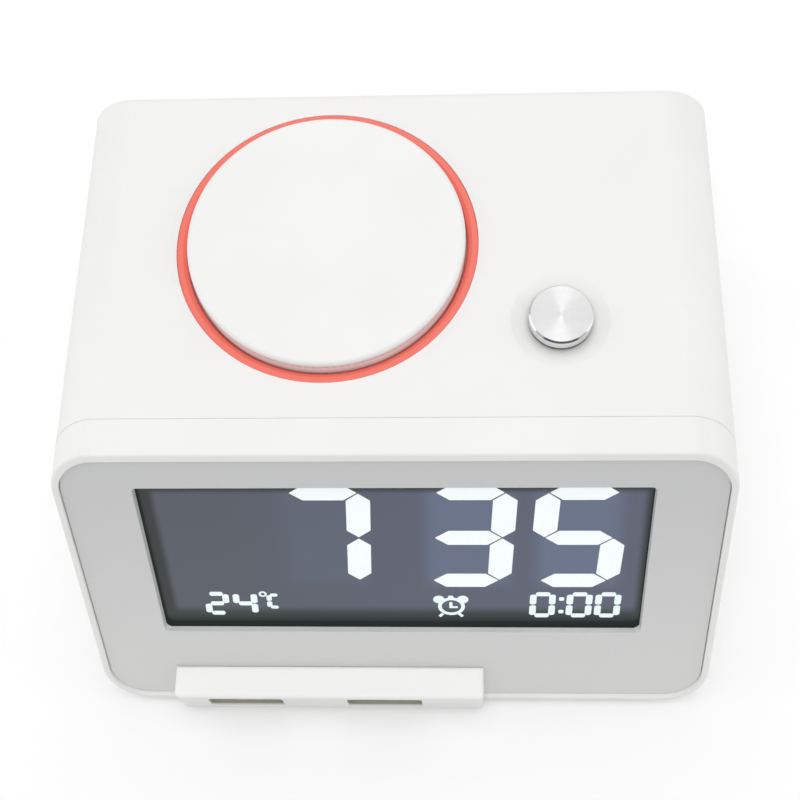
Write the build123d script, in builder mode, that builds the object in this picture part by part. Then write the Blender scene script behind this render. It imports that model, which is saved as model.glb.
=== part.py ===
"""Bed shaker alarm clock: a leaning display in a moulded case, a large snooze button in a
light ring, a push-turn knob and a phone ledge with two charging sockets. Millimetres, +Z up,
the face looks along -Y, origin at the centre of the footprint on the table."""

import os
from math import cos, radians, sin, tan

from build123d import *

os.makedirs("parts", exist_ok=True)

# Case, outside sizes
case_width = 120.0
case_height = 63.0
top_depth = 72.8
face_lean = 25.3
case_radius = 8.5
rear_narrowing = 1.3
rear_edge_radius = 1.6
wall = 2.2
least_corner = 0.5

# Clearances that the fits share, and how far a cut runs past what it cuts
fit_gap = 0.15
seam_gap = 0.2
running_gap = 0.05
overrun = 2.0

# Front frame, its lip and snap hooks
frame_depth = 6.0
rim_width = 1.35
rim_edge_radius = 0.6
flange_inset = 4.2
flange_thickness = 1.4
lip_depth = 3.0
snap_width = 8.0
snap_length = 1.2
snap_height = 0.45
snap_setback = 1.0
snap_spacing = 62.0

# Front panel and its window
panel_recess = 0.6
panel_thickness = 1.8
window_side_margin = 15.0
window_top_margin = 7.75
window_bottom_margin = 24.2
window_bevel = 0.9
post_radius = 2.4
post_clear = 0.5

# Display cell, backlight and board, one behind the other
lcd_margin = 2.5
lcd_thickness = 2.6
lcd_step = 2.4
lcd_step_thickness = 1.1
backlight_margin = 1.5
backlight_thickness = 5.0
board_thickness = 1.6
display_board_margin = 3.2
chip_side = 12.0
chip_height = 1.6

# Phone ledge
ledge_width = 61.0
ledge_inset = 15.0
ledge_height = 9.9
ledge_proud = 1.4
ledge_corner = 1.2
ledge_edge = 0.8
ledge_wall = 1.6

# Charging sockets and the slots in front of them
left_socket_offset = -16.7
right_socket_offset = 10.9
socket_drop = 4.7
slot_width = 14.8
slot_height = 6.0
slot_corner = 0.8
socket_width = 13.2
socket_height = 5.7
socket_corner = 0.6
socket_length = 14.0
socket_skin = 0.35
socket_setback = 1.0
socket_floor = 3.0
tongue_width = 11.1
tongue_thickness = 1.84
tongue_setback = 1.2
tongue_rise = 0.8
usb_board_length = 22.0
usb_board_margin = 3.0

# Snooze button and light ring
button_x = -11.9
button_y_behind = 40.6
cap_radius = 25.0
cap_proud = 2.0
cap_edge = 0.8
cap_wall = 1.8
cap_lip_out = 1.2
cap_lip_thickness = 1.2
cap_lip_gap = 0.1
cap_rib_thickness = 1.2
cap_rib_depth = 1.6
cap_ribs = 6
snooze_travel = 1.2
ring_radius = 27.15
ring_gap = 0.25
ring_sunk = 0.2
ring_dip = 0.6
ring_crest = 1.0
ring_flange_radius = 30.5
ring_flange_thickness = 2.2

# Top board with the snooze switch, its return spring and the ring lamps
top_board_drop = 11.0
top_board_clear = 0.5
top_board_reach = 10.7
boss_radius = 3.0
boss_inset = 4.0
switch_side = 6.0
switch_height = 3.5
switch_plunger_radius = 1.75
switch_plunger_height = 1.5
stem_radius = 3.0
spring_radius = 6.0
spring_wire = 0.7
spring_turns = 5
spring_collar_wall = 1.2
spring_collar_depth = 2.0
lamp_width = 3.5
lamp_depth = 2.8
lamp_height = 1.9
lamp_count = 6

# Push-turn knob in its dish, and the encoder below
knob_x = 29.55
knob_y_behind = 24.9
knob_radius = 5.6
knob_height = 2.65
knob_chamfer = 0.3
knob_travel = 0.4
knob_float = 0.12
knob_crown = 1.0
dish_radius = 8.7
dish_depth = 0.9
encoder_side = 12.0
encoder_height = 6.5
encoder_wall = 1.0
bushing_radius = 3.9
bushing_height = 3.2
shaft_radius = 3.0
shaft_flat = 0.7
shaft_collar_radius = 4.2
slider_radius = 4.4
slider_thickness = 1.2
dome_radius = 1.5
dome_height = 0.6

# Rear cover
cover_recess = 0.5
cover_thickness = 2.0
cover_stop_width = 1.4
cover_stop_depth = 1.6
cover_edge = 0.4
cover_boss_radius = 3.6
cover_boss_length = 12.0
cover_boss_inset = 3.8

# Screws
screw_head_radius = 1.9
screw_head_height = 1.3
screw_shank_radius = 1.0
screw_length = 5.0
cover_screw_head_radius = 2.6
cover_screw_head_height = 1.4
cover_screw_shank_radius = 1.4
cover_screw_length = 9.0
cross_width = 0.6
cross_share = 0.62
cross_depth_share = 0.55

# Rear buttons and their switches
rear_button_count = 4
rear_button_pitch = 11.0
rear_button_rise = 13.2
rear_button_inset = 35.0
rear_button_radius = 3.0
rear_button_proud = 0.8
rear_button_edge = 0.4
rear_button_flange = 1.0
rear_button_flange_thickness = 1.0
rear_button_travel = 0.6
rear_stem_radius = 1.5
button_board_gap = 6.5
button_board_clear = 1.0
button_board_height = 18.4

# Mode switch
mode_rise = 4.6
mode_travel = 2.0
mode_thumb_width = 3.2
mode_thumb_height = 2.6
mode_thumb_proud = 0.7
mode_neck_width = 2.4
mode_neck_height = 1.8
mode_foot_width = 4.0
mode_foot_thickness = 1.2
mode_body_width = 12.0
mode_body_height = 5.5
mode_body_depth = 4.5

# Sockets at the rear and their board
dc_inset = 22.0
dc_width = 9.0
dc_height = 11.0
dc_length = 14.0
dc_axis_height = 6.5
dc_bore_radius = 2.75
dc_bore_depth = 10.0
dc_pin_radius = 1.0
dc_hole_radius = 3.4
shaker_inset = 40.0
shaker_width = 8.0
shaker_height = 6.4
shaker_length = 12.0
shaker_nose_radius = 3.0
shaker_bore_radius = 1.8
power_board_rise = 4.0
power_board_width = 40.0
power_board_depth = 30.0
power_board_inset = 32.0

# Speaker and its slots
speaker_x = 30.0
speaker_rise = 20.8
speaker_radius = 14.5
speaker_depth = 4.0
speaker_rim = 1.2
speaker_basket_wall = 0.8
magnet_radius = 8.5
magnet_depth = 5.0
cone_thickness = 0.5
cone_drop = 2.2
dust_cap_radius = 4.0
speaker_rib_wall = 1.2
speaker_rib_depth = 3.0
grille_radius = 12.0
grille_slots = 7
grille_slot_height = 1.6
grille_pitch = 3.4

# Battery well in the base
cell_x = 26.0
cell_y_ahead = 32.0
cell_radius = 10.0
cell_thickness = 3.2
cell_edge = 0.3
door_radius = 12.5
door_boss_radius = 11.8
door_lug_out = 1.2
door_lug_thickness = 1.0
door_lug_angle = 30
door_turn = 45
coin_slot_length = 14.0
coin_slot_width = 1.8
coin_slot_depth = 1.0
holder_wall = 1.8
holder_roof = 1.2
contact_thickness = 0.3
contact_width = 5.0

# Rubber feet
foot_radius = 5.0
foot_sink = 0.6
foot_proud = 1.0
foot_edge = 0.4
foot_inset_x = 14.0
foot_inset_front = 16.0
foot_inset_rear = 10.0

# Landmarks worked out from the sizes above
lean_sine = sin(radians(face_lean))
lean_cosine = cos(radians(face_lean))
lean_slope = tan(radians(face_lean))
lean_run = case_height * lean_slope
face_height = case_height / lean_cosine
window_width = case_width - 2 * window_side_margin
window_height = face_height - window_top_margin - window_bottom_margin
window_drop = window_top_margin + window_height / 2
ledge_centre = ledge_inset + ledge_width / 2 - case_width / 2
overall_depth = ledge_proud + lean_run + top_depth + rear_button_proud - cover_recess
front_foot_y = ledge_proud - overall_depth / 2
front_top_y = front_foot_y + lean_run
rear_y = front_top_y + top_depth
ledge_front_y = front_foot_y - ledge_proud
case_bottom = foot_proud
case_top = case_bottom + case_height
case_middle = case_bottom + case_height / 2
floor_top = case_bottom + wall
panel_back = panel_recess + panel_thickness
cover_outside_y = rear_y - cover_recess
cover_inside_y = cover_outside_y - cover_thickness
rear_half_width = case_width / 2 - rear_narrowing
button_y = front_top_y + button_y_behind
knob_y = front_top_y + knob_y_behind
top_board_top = case_top - top_board_drop
face = Plane(
    origin=(0, front_top_y, case_top), x_dir=(1, 0, 0), z_dir=(0, -lean_cosine, lean_sine)
)
face_axis = Axis((0, 0, 0), (0, -lean_cosine, lean_sine))


def behind_face(depth):
    """The plane parallel to the face, this far behind it."""
    return face.offset(-depth)


def upright(y):
    """The upright plane at this Y, looking forwards."""
    return Plane.XZ.offset(-y)


def level(z):
    """The level plane at this height."""
    return Plane.XY.offset(z)


def face_y(z, depth):
    """Y of the point at height z that lies this far behind the face."""
    return front_top_y - (case_top - z) * lean_slope + depth / lean_cosine


def casing_block(inset):
    """The case's outline drawn in by an inset all round, from the front foot to the rear."""
    rear_width = case_width - 2 * (inset + rear_narrowing)
    corner = max(case_radius - inset, least_corner)
    section_height = case_height - 2 * inset
    with BuildPart() as block:
        with BuildSketch(upright(front_foot_y)):
            with Locations((0, case_middle)):
                RectangleRounded(case_width - 2 * inset, section_height, corner)
        with BuildSketch(upright(rear_y)):
            with Locations((0, case_middle)):
                RectangleRounded(rear_width, section_height, corner)
        loft(ruled=True)
    return block.part


def between_depths(block, near, far):
    """The slice of a block between two depths behind the face."""
    with BuildPart() as piece:
        add(block)
        split(bisect_by=behind_face(near), keep=Keep.BOTTOM)
        split(bisect_by=behind_face(far), keep=Keep.TOP)
    return piece.part


def between_uprights(block, front_y, back_y):
    """The slice of a block between two upright planes."""
    with BuildPart() as piece:
        add(block)
        split(bisect_by=upright(front_y), keep=Keep.BOTTOM)
        split(bisect_by=upright(back_y), keep=Keep.TOP)
    return piece.part


def level_box(low, high):
    """A block from its lowest to its highest corner."""
    with BuildPart() as box:
        with BuildSketch(level(low[2])):
            with Locations(((low[0] + high[0]) / 2, (low[1] + high[1]) / 2)):
                Rectangle(high[0] - low[0], high[1] - low[1])
        extrude(amount=high[2] - low[2])
    return box.part


def bar_across(reach, width, turn):
    """A bar outline whose two ends are rounded to the reach, turned by an angle."""
    with BuildSketch() as outline:
        Circle(reach)
        Rectangle(2 * reach, width, rotation=turn, mode=Mode.INTERSECT)
    return outline.sketch


def save(part, name):
    """Label a finished piece and write it under its own name."""
    part.label = name
    export_step(part, f"parts/{name}.step")


outer_block = casing_block(0)
inner_block = casing_block(wall)
lip_block = casing_block(wall / 2 + fit_gap)
rebate_block = casing_block(wall / 2)

# Places of the fixings that several pieces share
snap_places = [
    (side * snap_spacing / 2, z_low, face_y(z_low, frame_depth + snap_setback))
    for side in (-1, 1)
    for z_low in (case_top - wall / 2 - fit_gap, case_bottom + wall / 2 + fit_gap - snap_height)
]
post_x = window_width / 2 + lcd_margin + post_radius + post_clear
post_rise = window_height / 2
post_points = [
    (side * post_x, -window_drop + tier * post_rise) for side in (-1, 1) for tier in (-1, 1)
]
stop_front_y = cover_inside_y - cover_stop_depth
top_board_left = button_x - ring_flange_radius - top_board_clear
top_board_right = knob_x + encoder_side / 2 + top_board_clear + boss_radius + boss_inset
top_board_front = knob_y - top_board_reach
top_board_back = stop_front_y - top_board_clear
top_board_x = (top_board_left + top_board_right) / 2
top_board_y = (top_board_front + top_board_back) / 2
top_board_width = top_board_right - top_board_left
top_board_depth = top_board_back - top_board_front
top_boss_points = [
    (
        top_board_x + side * (top_board_width / 2 - boss_inset),
        top_board_y + end * (top_board_depth / 2 - boss_inset),
    )
    for side in (-1, 1)
    for end in (-1, 1)
]
cover_boss_x = rear_half_width - wall - cover_boss_inset
cover_boss_rise = case_height / 2 - wall - cover_boss_inset
cover_boss_points = [
    (side * cover_boss_x, case_middle + tier * cover_boss_rise)
    for side in (-1, 1)
    for tier in (-1, 1)
]
socket_points = [
    ledge_centre + left_socket_offset,
    ledge_centre + right_socket_offset,
]
socket_z = case_bottom + ledge_height - socket_drop
socket_mouth_y = ledge_front_y + socket_setback
socket_top = socket_z + socket_height / 2
foot_points = [
    (side * (case_width / 2 - foot_inset_x), y)
    for side in (-1, 1)
    for y in (front_foot_y + foot_inset_front, rear_y - foot_inset_rear)
]
cell_y = rear_y - cell_y_ahead
lug_radius = door_radius + door_lug_out
lug_width = 2 * door_radius * sin(radians(door_lug_angle / 2))
usb_board_front = face_y(socket_top + board_thickness, panel_back) + fit_gap
usb_board_y = usb_board_front + usb_board_length / 2
usb_board_x = ledge_centre + (left_socket_offset + right_socket_offset) / 2
usb_board_width = right_socket_offset - left_socket_offset + socket_width + 2 * usb_board_margin
usb_boss_y = usb_board_front + usb_board_length - boss_inset
usb_boss_points = [
    (usb_board_x + side * (usb_board_width / 2 - boss_inset), usb_boss_y) for side in (-1, 1)
]
power_board_x = power_board_inset - case_width / 2
power_board_top = floor_top + power_board_rise + board_thickness
dc_x = dc_inset - case_width / 2
dc_axis_z = power_board_top + dc_axis_height
shaker_x = shaker_inset - case_width / 2
shaker_axis_z = power_board_top + shaker_height / 2
speaker_z = floor_top + speaker_rise
power_board_y = cover_inside_y - fit_gap - power_board_depth / 2
power_boss_points = [
    (
        power_board_x + side * (power_board_width / 2 - boss_inset),
        power_board_y - power_board_depth / 2 + boss_inset,
    )
    for side in (-1, 1)
]
button_board_face = cover_inside_y - button_board_gap
button_board_x = rear_button_inset - case_width / 2
button_board_bottom = power_board_top + dc_height + button_board_clear
button_board_z = button_board_bottom + button_board_height / 2
rear_button_z = button_board_bottom + rear_button_rise
rear_button_points = [
    button_board_x + (index - (rear_button_count - 1) / 2) * rear_button_pitch
    for index in range(rear_button_count)
]
rear_flange_radius = rear_button_radius + rear_button_flange
button_post_x = rear_button_points[-1] - button_board_x + rear_flange_radius + post_clear + post_radius
button_post_rise = button_board_height / 2 - boss_inset
button_board_width = 2 * (button_post_x + display_board_margin)
button_post_points = [
    (button_board_x + side * button_post_x, button_board_z + tier * button_post_rise)
    for side in (-1, 1)
    for tier in (-1, 1)
]
mode_x = button_board_x
mode_z = button_board_bottom + mode_rise

# Main housing: a moulded tube, open at both ends, with all of the top controls in its roof
stop_block = casing_block(wall + cover_stop_width)
housing_cavity = between_uprights(inner_block, front_foot_y, stop_front_y)
cover_pocket = between_uprights(inner_block, cover_inside_y, rear_y)
lip_rebate = between_depths(rebate_block, frame_depth, frame_depth + lip_depth + fit_gap)
dish_ball_radius = (dish_radius**2 + dish_depth**2) / (2 * dish_depth)
with BuildPart() as main_housing:
    add(outer_block)
    fillet(faces().sort_by(Axis.Y)[-1].edges(), rear_edge_radius)
    add(housing_cavity, mode=Mode.SUBTRACT)
    add(stop_block, mode=Mode.SUBTRACT)
    add(cover_pocket, mode=Mode.SUBTRACT)
    split(bisect_by=behind_face(frame_depth + seam_gap), keep=Keep.BOTTOM)
    add(lip_rebate, mode=Mode.SUBTRACT)
    # pockets that the frame's snap hooks click into
    for x, z, y in snap_places:
        with BuildSketch(level(z - fit_gap)):
            with Locations((x, y + snap_length / 2)):
                Rectangle(snap_width + 2 * fit_gap, snap_length + 2 * fit_gap)
        extrude(amount=snap_height + 2 * fit_gap, mode=Mode.SUBTRACT)
    # bosses under the roof for the top board
    with BuildSketch(level(top_board_top)):
        with Locations(*top_boss_points):
            Circle(boss_radius)
    extrude(amount=top_board_drop - wall)
    # bosses on the floor for the charging board and the power board
    with BuildSketch(level(floor_top)):
        with Locations(*usb_boss_points):
            Circle(boss_radius)
    extrude(amount=socket_top - floor_top)
    with BuildSketch(level(floor_top)):
        with Locations(*power_boss_points):
            Circle(boss_radius)
    extrude(amount=power_board_rise)
    # corner bosses that the rear cover is screwed to
    with BuildSketch(upright(cover_inside_y)):
        with Locations(*cover_boss_points):
            Circle(cover_boss_radius)
    extrude(amount=cover_boss_length)
    # pilot holes for every screw
    with BuildSketch(level(top_board_top)):
        with Locations(*top_boss_points):
            Circle(screw_shank_radius + running_gap)
    extrude(amount=screw_length, mode=Mode.SUBTRACT)
    with BuildSketch(level(socket_top)):
        with Locations(*usb_boss_points):
            Circle(screw_shank_radius + running_gap)
    extrude(amount=-screw_length, mode=Mode.SUBTRACT)
    with BuildSketch(level(floor_top + power_board_rise)):
        with Locations(*power_boss_points):
            Circle(screw_shank_radius + running_gap)
    extrude(amount=-power_board_rise, mode=Mode.SUBTRACT)
    with BuildSketch(upright(cover_inside_y)):
        with Locations(*cover_boss_points):
            Circle(cover_screw_shank_radius + running_gap)
    extrude(amount=cover_screw_length, mode=Mode.SUBTRACT)
    # round opening for the light ring
    with BuildSketch(level(case_top + overrun)):
        with Locations((button_x, button_y)):
            Circle(ring_radius + fit_gap)
    extrude(amount=-(wall + overrun), mode=Mode.SUBTRACT)
    # finger dish round the knob, with the hole for the encoder's bushing
    with Locations((knob_x, knob_y, case_top + dish_ball_radius - dish_depth)):
        Sphere(dish_ball_radius, mode=Mode.SUBTRACT)
    with BuildSketch(level(case_top + overrun)):
        with Locations((knob_x, knob_y)):
            Circle(bushing_radius + fit_gap)
    extrude(amount=-(wall + overrun), mode=Mode.SUBTRACT)
    # battery opening with two notches that let the door's lugs through
    with BuildSketch(level(case_bottom)):
        with Locations((cell_x, cell_y)):
            Circle(door_radius + fit_gap)
            add(bar_across(lug_radius + fit_gap, lug_width + 2 * fit_gap, door_turn))
    extrude(amount=wall, mode=Mode.SUBTRACT)
    # seats of the rubber feet
    with BuildSketch(level(case_bottom)):
        with Locations(*foot_points):
            Circle(foot_radius + fit_gap)
    extrude(amount=foot_sink, mode=Mode.SUBTRACT)
save(main_housing.part, "main_housing")

# Front frame: the white rim, the flange that carries the panel, and the lip with its hooks
tunnel_half_width = socket_width / 2 + fit_gap
tunnel_half_height = socket_height / 2 + fit_gap
socket_back_y = socket_mouth_y + socket_length
ledge_space = level_box(
    (ledge_centre - ledge_width / 2, ledge_front_y, case_bottom),
    (ledge_centre + ledge_width / 2, face_y(case_top, 0), case_bottom + ledge_height),
)
with BuildPart() as ledge_notch:
    add(ledge_space)
    split(bisect_by=behind_face(panel_recess), keep=Keep.TOP)
socket_tunnels = [
    level_box(
        (x - tunnel_half_width, ledge_front_y, socket_z - tunnel_half_height),
        (x + tunnel_half_width, socket_back_y, socket_z + tunnel_half_height),
    )
    for x in socket_points
]
panel_pocket = between_depths(casing_block(rim_width), -overrun, panel_back)
frame_opening = between_depths(casing_block(flange_inset), -overrun, frame_depth + overrun)
frame_hollow = between_depths(
    inner_block, panel_back + flange_thickness, frame_depth + lip_depth + overrun
)
frame_lip = between_depths(lip_block, frame_depth, frame_depth + lip_depth)
with BuildPart() as front_frame:
    add(between_depths(outer_block, 0, frame_depth))
    fillet(faces().sort_by(face_axis)[-1].edges(), rim_edge_radius)
    add(frame_lip)
    add(panel_pocket, mode=Mode.SUBTRACT)
    add(frame_opening, mode=Mode.SUBTRACT)
    add(frame_hollow, mode=Mode.SUBTRACT)
    for x, z, y in snap_places:
        with BuildSketch(level(z)):
            with Locations((x, y + snap_length / 2)):
                Rectangle(snap_width, snap_length)
        extrude(amount=snap_height)
    add(ledge_notch.part, mode=Mode.SUBTRACT)
    add(socket_tunnels, mode=Mode.SUBTRACT)
save(front_frame.part, "front_frame")

# Front panel: light grey plate with a bevelled window and four posts for the display board
display_board_front = panel_back + lcd_thickness + backlight_thickness
display_board_back = display_board_front + board_thickness
with BuildPart() as front_panel:
    add(between_depths(casing_block(rim_width + fit_gap), panel_recess, panel_back))
    with BuildSketch(behind_face(panel_recess)):
        with Locations((0, -window_drop)):
            Rectangle(window_width, window_height)
    extrude(amount=-panel_thickness, mode=Mode.SUBTRACT)
    chamfer(faces().sort_by(face_axis)[-1].inner_wires()[0].edges(), window_bevel)
    with BuildSketch(behind_face(panel_back)):
        with Locations(*post_points):
            Circle(post_radius)
    extrude(amount=-(display_board_front - panel_back))
    with BuildSketch(behind_face(display_board_front)):
        with Locations(*post_points):
            Circle(screw_shank_radius + running_gap)
    extrude(amount=screw_length, mode=Mode.SUBTRACT)
    add(socket_tunnels, mode=Mode.SUBTRACT)
save(front_panel.part, "front_panel")

# Display cell: two panes of glass, the rear one shorter to leave the contact step
lcd_width = window_width + 2 * lcd_margin
lcd_height = window_height + 2 * lcd_margin
with BuildPart() as lcd_cell:
    with BuildSketch(behind_face(panel_back)):
        with Locations((0, -window_drop)):
            Rectangle(lcd_width, lcd_height)
    extrude(amount=-lcd_thickness)
    with BuildSketch(behind_face(panel_back + lcd_step_thickness)):
        with Locations((0, -window_drop - lcd_height / 2 + lcd_step / 2)):
            Rectangle(lcd_width, lcd_step)
    extrude(amount=-(lcd_thickness - lcd_step_thickness), mode=Mode.SUBTRACT)
save(lcd_cell.part, "lcd_cell")

# Backlight box: a white tray behind the glass
with BuildPart() as backlight_box:
    with BuildSketch(behind_face(panel_back + lcd_thickness)):
        with Locations((0, -window_drop)):
            Rectangle(window_width + 2 * backlight_margin, window_height + 2 * backlight_margin)
    extrude(amount=-backlight_thickness)
    chamfer(faces().sort_by(face_axis)[0].edges(), backlight_margin)
save(backlight_box.part, "backlight_box")

# Display board, screwed to the panel's posts
display_board_width = 2 * (post_x + display_board_margin)
display_board_height = 2 * (post_rise + display_board_margin)
with BuildPart() as display_board:
    with BuildSketch(behind_face(display_board_front)):
        with Locations((0, -window_drop)):
            Rectangle(display_board_width, display_board_height)
        with Locations(*post_points):
            Circle(screw_shank_radius + running_gap, mode=Mode.SUBTRACT)
    extrude(amount=-board_thickness)
    with BuildSketch(behind_face(display_board_back)):
        with Locations((0, -window_drop)):
            Rectangle(chip_side, chip_side)
    extrude(amount=-chip_height)
save(display_board.part, "display_board")

# Phone ledge: a hollow shelf on the face, with a slot in its front for each charging socket
with BuildPart() as phone_ledge:
    add(ledge_space)
    fillet(edges().filter_by(Axis.Z).sort_by(Axis.Y)[:2], ledge_corner)
    split(bisect_by=behind_face(panel_recess), keep=Keep.TOP)
    fillet(faces().sort_by(Axis.Z)[-1].edges(), ledge_edge)
    add(
        level_box(
            (
                ledge_centre - ledge_width / 2 + ledge_wall,
                ledge_front_y + ledge_wall,
                case_bottom + ledge_wall,
            ),
            (
                ledge_centre + ledge_width / 2 - ledge_wall,
                front_top_y,
                case_bottom + ledge_height - ledge_wall,
            ),
        ),
        mode=Mode.SUBTRACT,
    )
    with BuildSketch(upright(ledge_front_y)):
        with Locations(*[(x, socket_z) for x in socket_points]):
            RectangleRounded(slot_width, slot_height, slot_corner)
    extrude(amount=-ledge_wall, mode=Mode.SUBTRACT)
save(phone_ledge.part, "phone_ledge")


# Charging sockets: folded metal shells, each with a tongue inside
def socket_shell(x):
    """The shell of one charging socket, open at the front."""
    with BuildPart() as shell:
        with BuildSketch(upright(socket_mouth_y)):
            with Locations((x, socket_z)):
                RectangleRounded(socket_width, socket_height, socket_corner)
        extrude(amount=-socket_length)
        with BuildSketch(upright(socket_mouth_y)):
            with Locations((x, socket_z)):
                Rectangle(socket_width - 2 * socket_skin, socket_height - 2 * socket_skin)
        extrude(amount=-(socket_length - socket_floor), mode=Mode.SUBTRACT)
    return shell.part


for name, x in zip(("usb_socket_left", "usb_socket_right"), socket_points):
    save(socket_shell(x), name)

with BuildPart() as usb_tongues:
    with BuildSketch(upright(socket_mouth_y + tongue_setback)):
        with Locations(*[(x, socket_z + tongue_rise) for x in socket_points]):
            Rectangle(tongue_width, tongue_thickness)
    extrude(amount=-(socket_length - socket_floor - tongue_setback))
save(usb_tongues.part, "usb_tongues")

# Charging board, lying on the sockets and on two bosses
with BuildPart() as usb_board:
    with BuildSketch(level(socket_top)):
        with Locations((usb_board_x, usb_board_y)):
            Rectangle(usb_board_width, usb_board_length)
        with Locations(*usb_boss_points):
            Circle(screw_shank_radius + running_gap, mode=Mode.SUBTRACT)
    extrude(amount=board_thickness)
save(usb_board.part, "usb_board")

# Light ring: translucent, dipped towards the button, with a flange under the roof
button_axis = Axis((button_x, button_y, 0), (0, 0, 1))
button_profile_plane = Plane(
    origin=(button_x, button_y, case_top), x_dir=(1, 0, 0), z_dir=(0, -1, 0)
)
ring_bore = cap_radius + ring_gap
lip_reach = cap_radius + cap_lip_out
with BuildPart() as light_ring:
    with BuildSketch(button_profile_plane):
        with BuildLine():
            Polyline(
                (ring_bore, -ring_sunk - ring_dip),
                (ring_radius - ring_crest, -ring_sunk),
                (ring_radius, -ring_sunk),
                (ring_radius, -wall),
                (ring_flange_radius, -wall),
                (ring_flange_radius, -wall - ring_flange_thickness),
                (lip_reach + ring_gap, -wall - ring_flange_thickness),
                (lip_reach + ring_gap, -wall),
                (ring_bore, -wall),
                close=True,
            )
        make_face()
    revolve(axis=button_axis)
    split(bisect_by=upright(stop_front_y - fit_gap), keep=Keep.TOP)
save(light_ring.part, "light_ring")

# Snooze button: a shallow cap with a retaining lip, ribs, and a stem over the switch
cap_under = case_top + cap_proud - cap_wall
lip_top = -wall - cap_lip_gap
switch_top = top_board_top + switch_height + switch_plunger_height
collar_radius = spring_radius + spring_wire / 2 + fit_gap
collar_outside = collar_radius + spring_collar_wall
rib_start = collar_outside - spring_collar_wall / 2
rib_end = cap_radius - cap_wall / 2
with BuildPart() as snooze_button:
    with BuildSketch(button_profile_plane):
        with BuildLine():
            Polyline(
                (0, cap_proud),
                (cap_radius, cap_proud),
                (cap_radius, lip_top),
                (lip_reach, lip_top),
                (lip_reach, lip_top - cap_lip_thickness),
                (cap_radius - cap_wall, lip_top - cap_lip_thickness),
                (cap_radius - cap_wall, cap_proud - cap_wall),
                (0, cap_proud - cap_wall),
                close=True,
            )
        make_face()
    revolve(axis=button_axis)
    fillet(faces().sort_by(Axis.Z)[-1].edges(), cap_edge)
    with BuildSketch(level(cap_under)):
        with Locations((button_x, button_y)):
            Circle(stem_radius)
    extrude(amount=-(cap_under - switch_top - snooze_travel - running_gap))
    with BuildSketch(level(cap_under)):
        with Locations((button_x, button_y)):
            Circle(collar_outside)
            Circle(collar_radius, mode=Mode.SUBTRACT)
    extrude(amount=-spring_collar_depth)
    with BuildSketch(level(cap_under)):
        with Locations((button_x, button_y)):
            with PolarLocations((rib_start + rib_end) / 2, cap_ribs):
                Rectangle(rib_end - rib_start, cap_rib_thickness)
    extrude(amount=-cap_rib_depth)
save(snooze_button.part, "snooze_button")

# Return spring between the top board and the button
coil_height = cap_under - top_board_top - spring_wire
with BuildPart() as snooze_spring:
    with BuildLine() as coil:
        Helix(
            pitch=coil_height / spring_turns,
            height=coil_height,
            radius=spring_radius,
            center=(button_x, button_y, top_board_top + spring_wire / 2),
        )
    with BuildSketch(Plane(coil.line @ 0, z_dir=coil.line % 0)):
        Circle(spring_wire / 2)
    sweep(is_frenet=True)
save(snooze_spring.part, "snooze_spring")

# Top board, hung from the roof, with its switch and the ring's lamps
with BuildPart() as top_board:
    with BuildSketch(level(top_board_top)):
        with Locations((top_board_x, top_board_y)):
            Rectangle(top_board_width, top_board_depth)
        with Locations(*top_boss_points):
            Circle(screw_shank_radius + running_gap, mode=Mode.SUBTRACT)
    extrude(amount=-board_thickness)
save(top_board.part, "top_board")

with BuildPart() as snooze_switch:
    with BuildSketch(level(top_board_top)):
        with Locations((button_x, button_y)):
            Rectangle(switch_side, switch_side)
    extrude(amount=switch_height)
    with BuildSketch(level(top_board_top + switch_height)):
        with Locations((button_x, button_y)):
            Circle(switch_plunger_radius)
    extrude(amount=switch_plunger_height)
save(snooze_switch.part, "snooze_switch")

with BuildPart() as ring_lamps:
    with BuildSketch(level(top_board_top)):
        with Locations((button_x, button_y)):
            with PolarLocations((ring_bore + ring_flange_radius) / 2, lamp_count):
                Rectangle(lamp_depth, lamp_width)
    extrude(amount=lamp_height)
save(ring_lamps.part, "ring_lamps")

# Encoder: body and bushing, the slider that is pressed, and the shaft that turns
encoder_top = top_board_top + encoder_height
bushing_top = encoder_top + bushing_height
cavity_floor = top_board_top + encoder_wall
cavity_roof = encoder_top - encoder_wall
slider_bottom = cavity_floor + dome_height + knob_travel + running_gap
slider_top = slider_bottom + slider_thickness
collar_bottom = slider_top + running_gap
dish_rise = dish_ball_radius - (dish_ball_radius**2 - knob_radius**2) ** 0.5
knob_bottom = case_top - dish_depth + dish_rise + knob_travel + knob_float
knob_top = knob_bottom + knob_height
shaft_top = knob_top - knob_crown
knob_place = (knob_x, knob_y)
with BuildPart() as encoder_body:
    with BuildSketch(level(top_board_top)):
        with Locations(knob_place):
            Rectangle(encoder_side, encoder_side)
    extrude(amount=encoder_height)
    with BuildSketch(level(encoder_top)):
        with Locations(knob_place):
            Circle(bushing_radius)
    extrude(amount=bushing_height)
    with BuildSketch(level(cavity_floor)):
        with Locations(knob_place):
            Circle(slider_radius + fit_gap)
    extrude(amount=cavity_roof - cavity_floor, mode=Mode.SUBTRACT)
    with BuildSketch(level(cavity_roof)):
        with Locations(knob_place):
            Circle(shaft_radius + running_gap)
    extrude(amount=bushing_top - cavity_roof, mode=Mode.SUBTRACT)
    with BuildSketch(level(cavity_floor)):
        with Locations(knob_place):
            Circle(dome_radius)
    extrude(amount=dome_height)
save(encoder_body.part, "encoder_body")

with BuildPart() as encoder_slider:
    with BuildSketch(level(slider_bottom)):
        with Locations(knob_place):
            Circle(slider_radius)
    extrude(amount=slider_thickness)
save(encoder_slider.part, "encoder_slider")

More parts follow.
